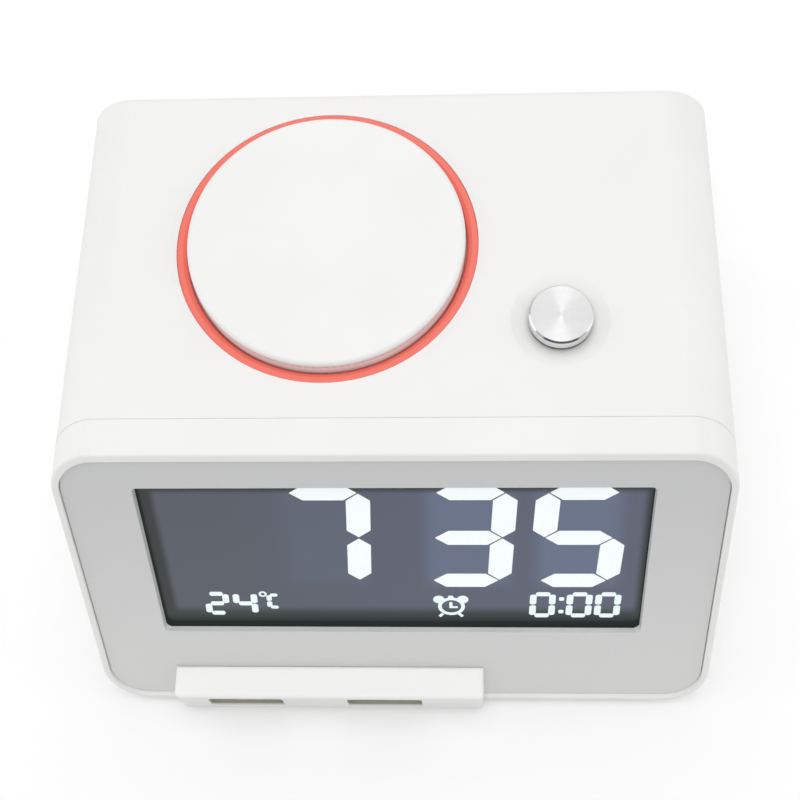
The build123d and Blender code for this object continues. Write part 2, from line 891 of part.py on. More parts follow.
with BuildPart() as encoder_shaft:
    with BuildSketch(level(collar_bottom)):
        with Locations(knob_place):
            Circle(shaft_collar_radius)
    extrude(amount=cavity_roof - running_gap - collar_bottom)
    with BuildSketch(level(collar_bottom)):
        with Locations(knob_place):
            Circle(shaft_radius)
    extrude(amount=knob_bottom - collar_bottom)
    with BuildSketch(level(knob_bottom)) as shaft_end:
        with Locations(knob_place):
            Circle(shaft_radius)
        with Locations((knob_x + 2 * shaft_radius - shaft_flat, knob_y)):
            Rectangle(2 * shaft_radius, 2 * shaft_radius, mode=Mode.SUBTRACT)
    extrude(amount=shaft_top - knob_bottom)
save(encoder_shaft.part, "encoder_shaft")

# Knob: spun metal cap on the shaft's flatted end
with BuildPart() as knob_cap:
    with BuildSketch(level(knob_bottom)):
        with Locations(knob_place):
            Circle(knob_radius)
    extrude(amount=knob_height)
    chamfer(faces().sort_by(Axis.Z)[-1].edges(), knob_chamfer)
    with BuildSketch(level(knob_bottom)):
        add(shaft_end.sketch.moved(Location((0, 0, -knob_bottom))))
    extrude(amount=shaft_top - knob_bottom, mode=Mode.SUBTRACT)
save(knob_cap.part, "knob_cap")

# Rear cover: sits against the housing's stop, with every control and socket of the rear
mode_slot_width = mode_neck_width + 2 * (mode_travel + fit_gap)
mode_slot_height = mode_neck_height + 2 * fit_gap
slot_steps = [index - (grille_slots - 1) / 2 for index in range(grille_slots)]
with BuildPart() as rear_cover:
    add(between_uprights(casing_block(wall + fit_gap), cover_inside_y, cover_outside_y))
    chamfer(faces().sort_by(Axis.Y)[-1].edges(), cover_edge)
    with BuildSketch(upright(cover_inside_y)):
        with Locations(*button_post_points):
            Circle(post_radius)
    extrude(amount=button_board_gap)
    with BuildSketch(upright(cover_inside_y)):
        with Locations((speaker_x, speaker_z)):
            Circle(speaker_radius + fit_gap + speaker_rib_wall)
            Circle(speaker_radius + fit_gap, mode=Mode.SUBTRACT)
    extrude(amount=speaker_rib_depth)
    with BuildSketch(upright(cover_outside_y)):
        with Locations(*[(x, rear_button_z) for x in rear_button_points]):
            Circle(rear_button_radius + fit_gap)
        with Locations((mode_x, mode_z)):
            Rectangle(mode_slot_width, mode_slot_height)
        with Locations((dc_x, dc_axis_z)):
            Circle(dc_hole_radius)
        with Locations((shaker_x, shaker_axis_z)):
            Circle(shaker_nose_radius + fit_gap)
        for step in slot_steps:
            half_chord = (grille_radius**2 - (step * grille_pitch) ** 2) ** 0.5
            with Locations((speaker_x, speaker_z + step * grille_pitch)):
                SlotOverall(2 * half_chord, grille_slot_height)
        with Locations(*cover_boss_points):
            Circle(cover_screw_shank_radius + fit_gap)
    extrude(amount=cover_thickness, mode=Mode.SUBTRACT)
    with BuildSketch(upright(cover_outside_y)):
        with Locations(*cover_boss_points):
            Circle(cover_screw_head_radius + fit_gap)
    extrude(amount=cover_screw_head_height, mode=Mode.SUBTRACT)
    with BuildSketch(upright(button_board_face)):
        with Locations(*button_post_points):
            Circle(screw_shank_radius + running_gap)
    extrude(amount=-screw_length, mode=Mode.SUBTRACT)
save(rear_cover.part, "rear_cover")

# Button board behind the cover, and its four push switches
with BuildPart() as button_board:
    with BuildSketch(upright(button_board_face)):
        with Locations((button_board_x, button_board_z)):
            Rectangle(button_board_width, button_board_height)
        with Locations(*button_post_points):
            Circle(screw_shank_radius + running_gap, mode=Mode.SUBTRACT)
    extrude(amount=board_thickness)
save(button_board.part, "button_board")

rear_switch_points = [(x, rear_button_z) for x in rear_button_points]
with BuildPart() as rear_switches:
    with BuildSketch(upright(button_board_face)):
        with Locations(*rear_switch_points):
            Rectangle(switch_side, switch_side)
    extrude(amount=-switch_height)
    with BuildSketch(upright(button_board_face + switch_height)):
        with Locations(*rear_switch_points):
            Circle(switch_plunger_radius)
    extrude(amount=-dome_height)
save(rear_switches.part, "rear_switches")

# Rear buttons: round caps, each held behind the cover by its flange
rear_flange_back = cover_inside_y - fit_gap
rear_stem_end = button_board_face + switch_height + dome_height + rear_button_travel + running_gap


def rear_button(x):
    """One rear button, from its outer face to the tip of its stem."""
    with BuildPart() as button:
        with BuildSketch(upright(rear_flange_back)):
            with Locations((x, rear_button_z)):
                Circle(rear_button_radius)
        extrude(amount=-(cover_outside_y + rear_button_proud - rear_flange_back))
        fillet(faces().sort_by(Axis.Y)[-1].edges(), rear_button_edge)
        with BuildSketch(upright(rear_flange_back)):
            with Locations((x, rear_button_z)):
                Circle(rear_flange_radius)
        extrude(amount=rear_button_flange_thickness)
        with BuildSketch(upright(rear_flange_back)):
            with Locations((x, rear_button_z)):
                Circle(rear_stem_radius)
        extrude(amount=rear_flange_back - rear_stem_end)
    return button.part


for index, x in enumerate(rear_button_points):
    save(rear_button(x), f"rear_button_{index + 1}")

# Mode switch: a body with a groove, and the slider that shows through the cover
mode_body_top = button_board_face + mode_body_depth
mode_groove_depth = mode_foot_thickness + fit_gap
with BuildPart() as mode_switch_body:
    with BuildSketch(upright(button_board_face)):
        with Locations((mode_x, mode_z)):
            Rectangle(mode_body_width, mode_body_height)
    extrude(amount=-mode_body_depth)
    with BuildSketch(upright(mode_body_top)):
        with Locations((mode_x, mode_z)):
            Rectangle(mode_foot_width + 2 * (mode_travel + fit_gap), mode_slot_height)
    extrude(amount=mode_groove_depth, mode=Mode.SUBTRACT)
save(mode_switch_body.part, "mode_switch_body")

with BuildPart() as mode_slider:
    with BuildSketch(upright(mode_body_top)):
        with Locations((mode_x, mode_z)):
            Rectangle(mode_foot_width, mode_neck_height)
    extrude(amount=mode_foot_thickness)
    with BuildSketch(upright(mode_body_top)):
        with Locations((mode_x, mode_z)):
            Rectangle(mode_neck_width, mode_neck_height)
    extrude(amount=-(cover_outside_y + running_gap - mode_body_top))
    with BuildSketch(upright(cover_outside_y + running_gap)):
        with Locations((mode_x, mode_z)):
            Rectangle(mode_thumb_width, mode_thumb_height)
    extrude(amount=-mode_thumb_proud)
save(mode_slider.part, "mode_slider")

# Power board on the floor, with the inlet and the shaker's jack against the rear cover
with BuildPart() as power_board:
    with BuildSketch(level(power_board_top)):
        with Locations((power_board_x, power_board_y)):
            Rectangle(power_board_width, power_board_depth)
        with Locations(*power_boss_points):
            Circle(screw_shank_radius + running_gap, mode=Mode.SUBTRACT)
    extrude(amount=-board_thickness)
save(power_board.part, "power_board")

with BuildPart() as dc_jack:
    with BuildSketch(upright(cover_inside_y)):
        with Locations((dc_x, power_board_top + dc_height / 2)):
            Rectangle(dc_width, dc_height)
    extrude(amount=dc_length)
    with BuildSketch(upright(cover_inside_y)):
        with Locations((dc_x, dc_axis_z)):
            Circle(dc_bore_radius)
            Circle(dc_pin_radius, mode=Mode.SUBTRACT)
    extrude(amount=dc_bore_depth, mode=Mode.SUBTRACT)
save(dc_jack.part, "dc_jack")

with BuildPart() as shaker_jack:
    with BuildSketch(upright(cover_inside_y)):
        with Locations((shaker_x, shaker_axis_z)):
            Rectangle(shaker_width, shaker_height)
    extrude(amount=shaker_length)
    with BuildSketch(upright(cover_inside_y)):
        with Locations((shaker_x, shaker_axis_z)):
            Circle(shaker_nose_radius)
    extrude(amount=-cover_thickness)
    with BuildSketch(upright(cover_outside_y)):
        with Locations((shaker_x, shaker_axis_z)):
            Circle(shaker_bore_radius)
    extrude(amount=shaker_length, mode=Mode.SUBTRACT)
save(shaker_jack.part, "shaker_jack")

# Speaker: basket with its magnet, and the cone that shows through the slots
with BuildPart() as speaker_basket:
    with BuildSketch(upright(cover_inside_y)):
        with Locations((speaker_x, speaker_z)):
            Circle(speaker_radius)
    extrude(amount=speaker_depth)
    with BuildSketch(upright(cover_inside_y - speaker_depth)):
        with Locations((speaker_x, speaker_z)):
            Circle(magnet_radius)
    extrude(amount=magnet_depth)
    with BuildSketch(upright(cover_inside_y)):
        with Locations((speaker_x, speaker_z)):
            Circle(speaker_radius - speaker_rim)
    extrude(amount=speaker_depth - speaker_basket_wall, mode=Mode.SUBTRACT)
save(speaker_basket.part, "speaker_basket")

cone_radius = speaker_radius - speaker_rim
speaker_axis = Axis((speaker_x, 0, speaker_z), (0, 1, 0))
with BuildPart() as speaker_cone:
    with BuildSketch(
        Plane(origin=(speaker_x, cover_inside_y, speaker_z), x_dir=(1, 0, 0), z_dir=(0, 0, 1))
    ):
        with BuildLine():
            Polyline(
                (0, -cone_drop + cone_thickness),
                (dust_cap_radius, -cone_drop),
                (cone_radius - cone_thickness, -cone_thickness),
                (cone_radius, -cone_thickness),
                (cone_radius, -2 * cone_thickness),
                (cone_radius - cone_thickness, -2 * cone_thickness),
                (dust_cap_radius, -cone_drop - cone_thickness),
                (0, -cone_drop - cone_thickness),
                close=True,
            )
        make_face()
    revolve(axis=speaker_axis)
save(speaker_cone.part, "speaker_cone")

# Battery well: a turned door, the coin cell on it, and the holder over both
well_place = (cell_x, cell_y)
lug_bottom = floor_top + fit_gap
lug_top = lug_bottom + door_lug_thickness
cell_bottom = lug_top + fit_gap
cell_top = cell_bottom + cell_thickness
with BuildPart() as battery_door:
    with BuildSketch(level(case_bottom)):
        with Locations(well_place):
            Circle(door_radius)
    extrude(amount=wall)
    with BuildSketch(level(floor_top)):
        with Locations(well_place):
            Circle(door_boss_radius)
    extrude(amount=lug_top - floor_top)
    with BuildSketch(level(lug_bottom)):
        with Locations(well_place):
            add(bar_across(lug_radius, lug_width, 0))
    extrude(amount=door_lug_thickness)
    with BuildSketch(level(case_bottom)):
        with Locations(well_place):
            SlotOverall(coin_slot_length, coin_slot_width)
    extrude(amount=coin_slot_depth, mode=Mode.SUBTRACT)
save(battery_door.part, "battery_door")

with BuildPart() as coin_cell:
    with BuildSketch(level(cell_bottom)):
        with Locations(well_place):
            Circle(cell_radius)
    extrude(amount=cell_thickness)
    fillet(faces().sort_by(Axis.Z)[0].edges(), cell_edge)
save(coin_cell.part, "coin_cell")

with BuildPart() as battery_contact:
    with BuildSketch(level(cell_top)):
        with Locations(well_place):
            Rectangle(2 * cell_radius, contact_width)
            Circle(cell_radius, mode=Mode.INTERSECT)
    extrude(amount=contact_thickness)
save(battery_contact.part, "battery_contact")

holder_radius = lug_radius + fit_gap + holder_wall
with BuildPart() as battery_holder:
    with BuildSketch(level(floor_top)):
        with Locations(well_place):
            Circle(holder_radius)
    extrude(amount=cell_top + contact_thickness + holder_roof - floor_top)
    with BuildSketch(level(floor_top)):
        with Locations(well_place):
            Circle(lug_radius + fit_gap)
    extrude(amount=cell_bottom - floor_top, mode=Mode.SUBTRACT)
    with BuildSketch(level(cell_bottom)):
        with Locations(well_place):
            Circle(cell_radius + fit_gap)
    extrude(amount=cell_thickness + contact_thickness, mode=Mode.SUBTRACT)
save(battery_holder.part, "battery_holder")

# Rubber feet, pressed into their seats in the floor
with BuildPart() as rubber_feet:
    with BuildSketch(level(0)):
        with Locations(*foot_points):
            Circle(foot_radius)
    extrude(amount=foot_proud + foot_sink)
    fillet(faces().group_by(Axis.Z)[0].edges(), foot_edge)
save(rubber_feet.part, "rubber_feet")


# Screws, each with a cross in its head
def screw_set(places, head_radius, head_height, shank_radius, length):
    """Like screws on several planes: head_side is 1 where heads stand on a plane's front."""
    with BuildPart() as screws:
        for plane, points, head_side in places:
            with BuildSketch(plane):
                with Locations(*points):
                    Circle(head_radius)
            extrude(amount=head_side * head_height)
            with BuildSketch(plane):
                with Locations(*points):
                    Circle(shank_radius)
            extrude(amount=-head_side * length)
            with BuildSketch(plane.offset(head_side * head_height)):
                with Locations(*points):
                    Rectangle(2 * head_radius * cross_share, cross_width)
                    Rectangle(cross_width, 2 * head_radius * cross_share)
            cross_depth = head_height * cross_depth_share
            extrude(amount=-head_side * cross_depth, mode=Mode.SUBTRACT)
    return screws.part


inner_screw_places = [
    (level(top_board_top - board_thickness), top_boss_points, -1),
    (level(socket_top + board_thickness), usb_boss_points, 1),
    (level(power_board_top), power_boss_points, 1),
    (upright(button_board_face - board_thickness), button_post_points, 1),
    (behind_face(display_board_back), post_points, -1),
]
inner_screws = screw_set(
    inner_screw_places, screw_head_radius, screw_head_height, screw_shank_radius, screw_length
)
save(inner_screws, "inner_screws")

cover_screws = screw_set(
    [(upright(cover_outside_y - cover_screw_head_height), cover_boss_points, -1)],
    cover_screw_head_radius,
    cover_screw_head_height,
    cover_screw_shank_radius,
    cover_screw_length,
)
save(cover_screws, "cover_screws")
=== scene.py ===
from math import cos, pi, radians, sin

import bmesh
import bpy
from mathutils import Matrix, Vector


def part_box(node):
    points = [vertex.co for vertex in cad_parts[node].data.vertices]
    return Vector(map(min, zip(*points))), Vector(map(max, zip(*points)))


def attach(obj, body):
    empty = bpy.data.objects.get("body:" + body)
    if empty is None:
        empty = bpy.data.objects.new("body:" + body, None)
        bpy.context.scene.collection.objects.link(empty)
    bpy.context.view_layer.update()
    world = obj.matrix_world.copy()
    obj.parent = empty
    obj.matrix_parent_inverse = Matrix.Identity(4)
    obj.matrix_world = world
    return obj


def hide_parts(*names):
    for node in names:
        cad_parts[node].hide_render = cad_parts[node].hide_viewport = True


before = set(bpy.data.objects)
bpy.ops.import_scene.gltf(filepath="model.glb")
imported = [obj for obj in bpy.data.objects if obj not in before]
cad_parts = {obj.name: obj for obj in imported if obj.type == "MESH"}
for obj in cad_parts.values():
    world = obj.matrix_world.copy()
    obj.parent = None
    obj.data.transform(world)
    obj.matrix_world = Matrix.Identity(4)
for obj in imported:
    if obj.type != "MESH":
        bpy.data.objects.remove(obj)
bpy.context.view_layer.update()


# Main housing: one moulded tube of white ABS, with the roof, the sides and the floor in a piece.
# The tool was spark eroded, which leaves a fine even grain with a soft sheen, and the wall shows
# hardly visible cloudy patches where the plastic cooled at different rates.
class Value:
    """A number on its way through a material, so that shader sums read as plain sums."""

    def __init__(self, nodes, socket):
        self.nodes = nodes
        self.socket = socket

    def maths(self, operation, *others):
        inputs = dict(enumerate((self, *others)))
        return self.nodes.node("Math", {"operation": operation}, inputs)

    def __add__(self, other):
        return self.maths("ADD", other)

    __radd__ = __add__

    def __mul__(self, other):
        return self.maths("MULTIPLY", other)

    __rmul__ = __mul__

    def __sub__(self, other):
        return self.maths("SUBTRACT", other)

    def __rsub__(self, other):
        return (self * -1) + other

    def __abs__(self):
        return self.maths("ABSOLUTE")

    def __lt__(self, other):
        return self.maths("LESS_THAN", other)

    def __gt__(self, other):
        return self.maths("GREATER_THAN", other)

    def root(self):
        return self.maths("SQRT")

    def wave(self):
        return self.maths("SINE")

    def least(self, other):
        return self.maths("MINIMUM", other)

    def most(self, other):
        return self.maths("MAXIMUM", other)

    def soft_step(self, low, high):
        """0 below low, 1 above high, and smooth between."""
        inputs = {"Value": self, "From Min": low, "From Max": high}
        return self.nodes.node("MapRange", {"interpolation_type": "SMOOTHSTEP"}, inputs)

    def between(self, low, high):
        """Maps 0 to 1 onto low to high."""
        return self * (high - low) + low


class Nodes:
    """The nodes of one material, or of the room, and the place that they start from."""

    def __init__(self, tree, coordinates):
        self.tree = tree
        self.place = self.node("TexCoord", {}, {}, coordinates)

    def node(self, kind, settings, inputs, output=0):
        made = self.tree.nodes.new("ShaderNode" + kind)
        for name, value in settings.items():
            setattr(made, name, value)
        for name, value in inputs.items():
            self.join(made.inputs[name], value)
        return Value(self, made.outputs[output])

    def join(self, target, value):
        if isinstance(value, Value):
            self.tree.links.new(value.socket, target)
        else:
            target.default_value = value

    def axes(self):
        """The three parts of the place."""
        return [self.node("SeparateXYZ", {}, {"Vector": self.place}, axis) for axis in "XYZ"]

    def reach(self, centre):
        """How far the place lies from an upright axis."""
        x, y, _ = self.axes()
        return ((x - centre.x) * (x - centre.x) + (y - centre.y) * (y - centre.y)).root()

    def ray(self, kind):
        """1 where a ray of a kind looks at this, otherwise 0."""
        return self.node("LightPath", {}, {}, f"Is {kind} Ray")


class Finish(Nodes):
    """One material, whose Principled shader takes numbers, colours and what is worked out."""

    def __init__(self, name, **constants):
        self.material = bpy.data.materials.new(name)
        self.material.use_nodes = True
        super().__init__(self.material.node_tree, "Object")
        self.shader = self.tree.nodes["Principled BSDF"]
        self.set({key.replace("_", " "): value for key, value in constants.items()})

    def set(self, inputs):
        for name, value in inputs.items():
            if name in ("Base Color", "Emission Color") and not isinstance(value, Value):
                value = (*value, 1)
            self.join(self.shader.inputs[name], value)

    def noise(self, scale, detail=2.0, roughness=0.5, stretch=(1, 1, 1)):
        """Noise from about 0 to 1, with scale in patches per metre."""
        stretched = self.node(
            "VectorMath", {"operation": "MULTIPLY"}, {0: self.place, 1: stretch}
        )
        inputs = {"Vector": stretched, "Scale": scale, "Detail": detail, "Roughness": roughness}
        return self.node("TexNoise", {}, inputs, "Fac")

    def mix(self, share, first, second):
        """A colour between two colours."""
        colours = [c if isinstance(c, Value) else (*c, 1) for c in (first, second)]
        inputs = {0: share, 6: colours[0], 7: colours[1]}
        return self.node("Mix", {"data_type": "RGBA"}, inputs, 2)

    def bump(self, height, depth):
        """Relief of a real depth in metres."""
        inputs = {"Height": height, "Distance": depth, "Strength": 1.0}
        self.set({"Normal": self.node("Bump", {}, inputs)})


def clouded(finish, colour):
    """A colour that is a little deeper in cloudy patches."""
    deep = tuple(0.965 * part for part in colour)
    return finish.mix(finish.noise(38, 3.0).soft_step(0.25, 0.75), deep, colour)


def moulded(name, colour, sheen, grain=0.00002, grain_scale=2600):
    """Moulded plastic: fine spark-eroded grain, cloudy tone and a sheen that varies a little."""
    finish = Finish(name)
    clouds = finish.noise(38, 3.0)
    specks = finish.noise(grain_scale, 2.0, 0.65)
    roughness = (clouds * 0.5 + specks * 0.5).between(sheen - 0.05, sheen + 0.07)
    finish.set({"Base Color": clouded(finish, colour), "Roughness": roughness})
    finish.bump(specks, grain)
    return finish


def dress(finish, *nodes):
    """Gives CAD nodes a finish."""
    for node in nodes:
        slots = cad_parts[node].data.materials
        slots.clear()
        slots.append(finish.material)


case_white = (0.885, 0.885, 0.872)
white_grain = moulded("White moulded ABS", case_white, 0.42)
dress(white_grain, "main_housing")

# Front frame: a second white moulding, whose rim stands round the panel. It snaps on to the
# housing behind the fine seam, and its lip was polished in the tool, so it shines a little more.
# The snaps pull it nearly home, so the copy that shows has the seam almost closed.
rim_white = moulded("White rim ABS", case_white, 0.34, grain=0.000012)
dress(rim_white, "front_frame")


def mounted(name, data, finish, body):
    """Makes a mesh a piece that rides on a body."""
    piece = bpy.data.objects.new(name, data)
    bpy.context.scene.collection.objects.link(piece)
    data.materials.clear()
    data.materials.append(finish.material)
    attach(piece, body)
    return piece


lean = radians(25.3)
outward = Vector((0, -cos(lean), sin(lean)))
same_place = 0.00002
seam_gap, seam_closing = 0.0002, 0.00015
housing_points = [v.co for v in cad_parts["main_housing"].data.vertices]
frame_rear = max(p.dot(outward) for p in housing_points) + seam_gap
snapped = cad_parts["front_frame"].data.copy()
for vert in snapped.vertices:
    if abs(vert.co.dot(outward) - frame_rear) < same_place:
        vert.co -= outward * seam_closing
frame_piece = mounted("front_frame_snapped", snapped, rim_white, "clock")
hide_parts("front_frame")

# Front panel: pale grey plate inside the rim, with the bevelled window of the display. Its grain
# is finer than the case's. Towards the top the grey is painted a shade deeper, a painted shade
# under the rim.
low_grey, top_painted_shade_grey = (0.730, 0.740, 0.727), (0.637, 0.646, 0.640)
panel_grey = moulded("Grey panel ABS", low_grey, 0.45, grain=0.000015)
panel_low, panel_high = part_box("front_panel")
# Painted shade: the grey deepens towards the panel's top edge, mixed with the cloudy tone.
painted_shade_rise = panel_grey.axes()[2].soft_step(panel_low.z, panel_high.z)
panel_clouds = panel_grey.noise(38, 3.0) * 0.12 - 0.06
clouded_grey_with_painted_shade = panel_grey.mix((painted_shade_rise + panel_clouds).most(0.0), low_grey, top_painted_shade_grey)
panel_grey.set({"Base Color": clouded_grey_with_painted_shade})
dress(panel_grey, "front_panel")


def finished(name, mesh, finish, body):
    """Turns a bmesh into a piece that rides on a body."""
    data = bpy.data.meshes.new(name)
    mesh.to_mesh(data)
    mesh.free()
    return mounted(name, data, finish, body)


# The panel's window: a lower, sharper opening than the solid's, with a thin lip and an undercut
# behind it. The three edges of the solid's window are redrawn on a copy of the panel, each by how
# much wider it is than the window and how far behind the panel's face it runs.
downward = Vector((0, -sin(lean), -cos(lean)))
window_top, window_bottom = -0.04010, -0.00080
window_half_width = 0.0455
window_across = 0.0001
window_corner = 0.0009
window_edges = {"front": (0.0002, 0.0), "lip": (0.0, 0.0010), "back": (0.0013, 0.0018)}
solid_half_width, solid_bevel = 0.045, 0.0009
solid_top, solid_bottom = -0.041154, -0.003420
solid_wall_middle = 0.0012
panel = bmesh.new()
panel.from_mesh(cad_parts["front_panel"].data)
bmesh.ops.remove_doubles(panel, verts=panel.verts[:], dist=0.000001)
panel_face = max(v.co.dot(outward) for v in panel.verts)
corner_verts = {edge: [] for edge in window_edges}
for vert in panel.verts:
    depth = panel_face - vert.co.dot(outward)
    on_bevel = abs(abs(vert.co.x) - solid_half_width - solid_bevel) < same_place
    on_wall = abs(abs(vert.co.x) - solid_half_width) < same_place
    if on_bevel and depth < same_place:
        edge = "front"
    elif on_wall:
        edge = "lip" if depth < solid_wall_middle else "back"
    else:
        continue
    grow, new_depth = window_edges[edge]
    to_side = 1 if vert.co.x > 0 else -1
    low = vert.co.dot(downward) > (solid_top + solid_bottom) / 2
    drop = window_bottom + grow if low else window_top - grow
    vert.co = (
        Vector((window_across + to_side * (window_half_width + grow), 0, 0))
        + downward * drop
        + outward * (panel_face - new_depth)
    )
    corner_verts[edge].append(vert)
longest_corner = 0.003
corner_edges = [
    edge
    for first, second in (("front", "lip"), ("lip", "back"))
    for vert in corner_verts[first]
    for edge in vert.link_edges
    if edge.other_vert(vert) in corner_verts[second] and edge.calc_length() < longest_corner
]
bmesh.ops.bevel(
    panel,
    geom=corner_edges,
    offset=window_corner,
    affect="EDGES",
    segments=4,
    profile=0.5,
    material=-1,
)
for part in panel.faces:
    part.smooth = False
panel_piece = finished("panel_with_window", panel, panel_grey, "clock")
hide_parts("front_panel")

# Phone ledge: a hollow white shelf that a phone's lower edge stands on, of a warm white
# moulding. Its top is painted a cleaner white, a painted light where light falls on it from
# above. The walls of the slots before its two sockets are painted a dull olive, a painted
# shade of their dark inside.
warm_white, top_painted_light_white = (0.885, 0.882, 0.865), (0.965, 0.965, 0.955)
slot_painted_shade = (0.45, 0.44, 0.35)
ledge_white = moulded("White ledge ABS", warm_white, 0.40, grain=0.000012)
ledge_low, ledge_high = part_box("phone_ledge")
ledge_x, ledge_y, ledge_z = ledge_white.axes()
edge_low, edge_high = ledge_high.z - 0.0009, ledge_high.z - 0.0002
# Painted light: the ledge's top is lighter than its front.
painted_light_rise = ledge_z.soft_step(edge_low, edge_high)
ledge_tone_with_painted_light = ledge_white.mix(painted_light_rise, clouded(ledge_white, warm_white), top_painted_light_white)
slot_half_width, slot_half_height, slot_start = 0.00745, 0.00305, 0.0003
# Painted shade: the walls inside the slots take a dark olive where the recess lies in shade.
in_slot = 0
for socket in ("usb_socket_left", "usb_socket_right"):
    socket_middle = sum(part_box(socket), Vector()) / 2
    beside_socket = abs(ledge_x - socket_middle.x) < slot_half_width
    in_slot = in_slot + beside_socket * (abs(ledge_z - socket_middle.z) < slot_half_height)
in_slot = in_slot * (ledge_y > ledge_low.y + slot_start)
ledge_white.set({"Base Color": ledge_white.mix(in_slot, ledge_tone_with_painted_light, slot_painted_shade)})
dress(ledge_white, "phone_ledge")

# Rear cover and battery door: two flat mouldings of the same white plastic. Their tools were
# eroded more coarsely than the case's, so the grain is a touch deeper and duller.
cover_white = moulded(
    "White cover ABS", (0.872, 0.872, 0.858), 0.48, grain=0.00003, grain_scale=1900
)
dress(cover_white, "rear_cover", "battery_door")

# Display cell: two panes of glass over a dark mask, shown by one pane that also fills the lower
# window. A little of the backlight leaks through the unlit area, bluer inside the large figures,
# and fades into the mask's border and under the window's upper edge.
glass_points = [v.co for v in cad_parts["lcd_cell"].data.vertices]
glass_front = max(p.dot(outward) for p in glass_points)
glass_middle = -0.02085
figure_row = 0.00465
figure_places = {"7": -0.0128, "3": 0.0132, "5": 0.0331}
figure_half_width = 0.0062
figure_half_height = 0.01175
figure_glow = {"7": 0.3, "3": 1.0, "5": 1.0}
glow_reach, glow_fade = 0.0012, 0.0022
leak_left, leak_right = -0.0429, 0.0446
leak_top, leak_bottom = 0.0168, -0.0160

display = Finish(
    "Display glass", Roughness=0.22, IOR=1.5, Specular_IOR_Level=0.35, Emission_Strength=0.74
)
side, depth_way, up_way = display.axes()
rise = glass_middle - (depth_way * downward.y + up_way * downward.z)
edge_fade = 0.0009
left_edge = side.soft_step(leak_left - edge_fade, leak_left + edge_fade)
right_edge = 1 - side.soft_step(leak_right - edge_fade, leak_right + edge_fade)
top_edge = 1 - rise.soft_step(leak_top - edge_fade, leak_top + edge_fade)
bottom_edge = rise.soft_step(leak_bottom - 1.5 * edge_fade, leak_bottom + 2 * edge_fade)
leak = left_edge * right_edge * top_edge * bottom_edge
glow = 0
for name, place in figure_places.items():
    beside = figure_half_width + glow_reach - abs(side - place)
    above = figure_half_height + glow_reach - abs(rise - figure_row)
    patch = beside.soft_step(-glow_fade, glow_fade) * above.soft_step(-glow_fade, glow_fade)
    glow = glow + patch * figure_glow[name]
cloud = display.noise(55, 2.0)
dark_mask = (0.020, 0.028, 0.025)
left_leak, right_leak = (0.098, 0.110, 0.142), (0.112, 0.128, 0.186)
left_end, right_end = -0.040, 0.020
figure_leak = (0.150, 0.188, 0.295)
plain_leak = display.mix(side.soft_step(left_end, right_end), left_leak, right_leak)
leak_tone = display.mix(glow.least(1.0) * cloud.between(0.6, 1.1), plain_leak, figure_leak)
display.set(
    {
        "Base Color": display.mix(cloud, (0.006, 0.006, 0.008), (0.010, 0.010, 0.012)),
        "Emission Color": display.mix(leak, dark_mask, leak_tone),
    }
)
dress(display, "lcd_cell")

display_space = Matrix(
    (
        (1, 0, 0, 0),
        (0, -downward.y, outward.y, glass_middle * downward.y + glass_front * outward.y),
        (0, -downward.z, outward.z, glass_middle * downward.z + glass_front * outward.z),
        (0, 0, 0, 1),
    )
)
pane_width, pane_height, pane_thickness = 0.095, 0.0440, 0.0024
behind_glass = Matrix.Translation((0, 0, -pane_thickness / 2))
pane_size = Matrix.Diagonal((pane_width, pane_height, pane_thickness, 1))
pane = bmesh.new()
bmesh.ops.create_cube(pane, size=1, matrix=display_space @ behind_glass @ pane_size)
bmesh.ops.recalc_face_normals(pane, faces=pane.faces[:])
pane_piece = finished("display_pane", pane, display, "clock")
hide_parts("lcd_cell")

# Lit segments: the clear shutters of the display, lit through by the backlight. Each figure is
# built from the seven usual bars with pointed ends, and the large ones lean over a little.
BARS = {
    "top": (0, 1, True),
    "middle": (0, 0, True),
    "bottom": (0, -1, True),
    "upper left": (-1, 0.5, False),
    "upper right": (1, 0.5, False),
    "lower left": (-1, -0.5, False),
    "lower right": (1, -0.5, False),
}
FIGURES = {
    "0": ("top", "bottom", "upper left", "upper right", "lower left", "lower right"),
    "2": ("top", "middle", "bottom", "upper right", "lower left"),
    "3": ("top", "middle", "bottom", "upper right", "lower right"),
    "4": ("middle", "upper left", "upper right", "lower right"),
    "5": ("top", "middle", "bottom", "upper left", "lower right"),
    "7": ("top", "upper right", "lower right"),
    "C": ("top", "bottom", "upper left", "lower left"),
}
segment_lift = 0.00006


def lit_finish(name, colour):
    """Light through a shutter, a little dimmer in patches where the diffuser is thicker."""
    finish = Finish(name, Base_Color=(0.55, 0.56, 0.56), Roughness=0.3, Emission_Strength=0.52)
    dim = tuple(0.94 * part for part in colour)
    finish.set({"Emission Color": finish.mix(finish.noise(260, 2.0), dim, colour)})
    return finish


def outline(mesh, points):
    """Adds a flat face through a few points of the display."""
    mesh.faces.new([mesh.verts.new((x, y, 0)) for x, y in points])


def bar(mesh, centre, half_length, half_width, tip, upright):
    """One bar with two pointed ends, lying or upright."""
    reach = half_length - tip
    points = [
        (-half_length, 0),
        (-reach, -half_width),
        (reach, -half_width),
        (half_length, 0),
        (reach, half_width),
        (-reach, half_width),
    ]
    if upright:
        points = [(-y, x) for x, y in points]
    outline(mesh, [(centre[0] + x, centre[1] + y) for x, y in points])


def figure(mesh, name, centre, half_width, half_height, halves, tips, gaps, slant):
    """One seven-bar figure, sheared by its slant. Pairs are for lying and upright bars."""
    before = set(mesh.verts)
    for part in FIGURES[name]:
        over, up, lying = BARS[part]
        spot = (over * half_width, up * half_height)
        if lying:
            bar(mesh, spot, half_width - gaps[0], halves[0], tips[0], False)
        else:
            bar(mesh, spot, half_height / 2 - gaps[1], halves[1], tips[1], True)
    fresh = [v for v in mesh.verts if v not in before]
    shear = Matrix(((1, slant, 0, centre[0]), (0, 1, 0, centre[1]), (0, 0, 1, 0), (0, 0, 0, 1)))
    bmesh.ops.transform(mesh, matrix=shear, verts=fresh)


